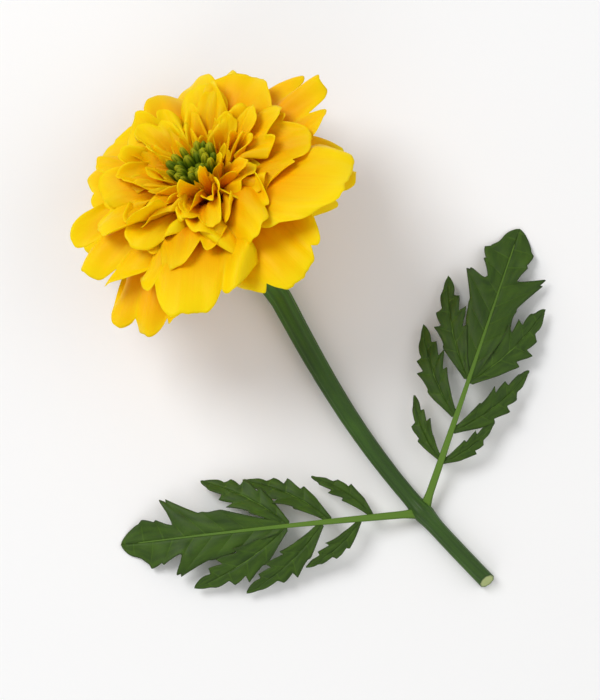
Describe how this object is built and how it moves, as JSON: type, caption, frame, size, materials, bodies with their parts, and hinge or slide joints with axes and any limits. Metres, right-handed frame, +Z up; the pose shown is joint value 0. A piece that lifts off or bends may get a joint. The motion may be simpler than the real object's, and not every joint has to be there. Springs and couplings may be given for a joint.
{
  "type": "marigold flower",
  "caption": "Picked double marigold bloom lying on its side: fan petals in whorls round a green centre, ribbed calyx, stem and a pair of divided leaves.",
  "frame": {"origin": "on the table, under the centre of the whole flower's box as it lies", "axes": "+Z up from the table; -Y the way the bloom faces, half way between level and up; +Y along the stem towards its cut end; +X to the right of someone who looks along +Y"},
  "size_m": [0.1015, 0.1144, 0.0426],
  "materials": {
    "petal": "soft matt, slightly translucent golden yellow, orange at the base",
    "crest": "soft matt orange yellow",
    "bud": "matt olive green with yellow tips",
    "calyx": "smooth satin yellow green",
    "stem": "ribbed satin green",
    "leaf": "satin dark green"
  },
  "bodies": {
    "root": {"stem": "stem", "calyx": "calyx", "leaf_left": "leaf", "leaf_right": "leaf", "ray_outer_01": "petal", "ray_outer_02": "petal", "ray_outer_03": "petal", "ray_outer_04": "petal", "ray_outer_05": "petal", "ray_outer_06": "petal", "ray_upper_01": "petal", "ray_upper_02": "petal", "ray_upper_03": "petal", "ray_upper_04": "petal", "ray_upper_05": "petal", "ray_upper_06": "petal", "ray_middle_01": "petal", "ray_middle_02": "petal", "ray_middle_03": "petal", "ray_middle_04": "petal", "ray_middle_05": "petal", "ray_middle_06": "petal", "ray_middle_07": "petal", "ray_inner_01": "petal", "ray_inner_02": "petal", "ray_inner_03": "petal", "ray_inner_04": "petal", "ray_inner_05": "petal", "ray_inner_06": "petal", "ray_inner_07": "petal", "crest_outer_01": "crest", "crest_outer_02": "crest", "crest_outer_03": "crest", "crest_outer_04": "crest", "crest_outer_05": "crest", "crest_outer_06": "crest", "crest_outer_07": "crest", "crest_outer_08": "crest", "crest_outer_09": "crest", "crest_inner_01": "crest", "crest_inner_02": "crest", "crest_inner_03": "crest", "crest_inner_04": "crest", "crest_inner_05": "crest", "crest_inner_06": "crest", "crest_inner_07": "crest", "crest_inner_08": "crest", "crest_inner_09": "crest", "disc_bud_01": "bud", "disc_bud_02": "bud", "disc_bud_03": "bud", "disc_bud_04": "bud", "disc_bud_05": "bud", "disc_bud_06": "bud", "disc_bud_07": "bud", "disc_bud_08": "bud", "disc_bud_09": "bud", "disc_bud_10": "bud", "disc_bud_11": "bud"}
  },
  "joints": []
}
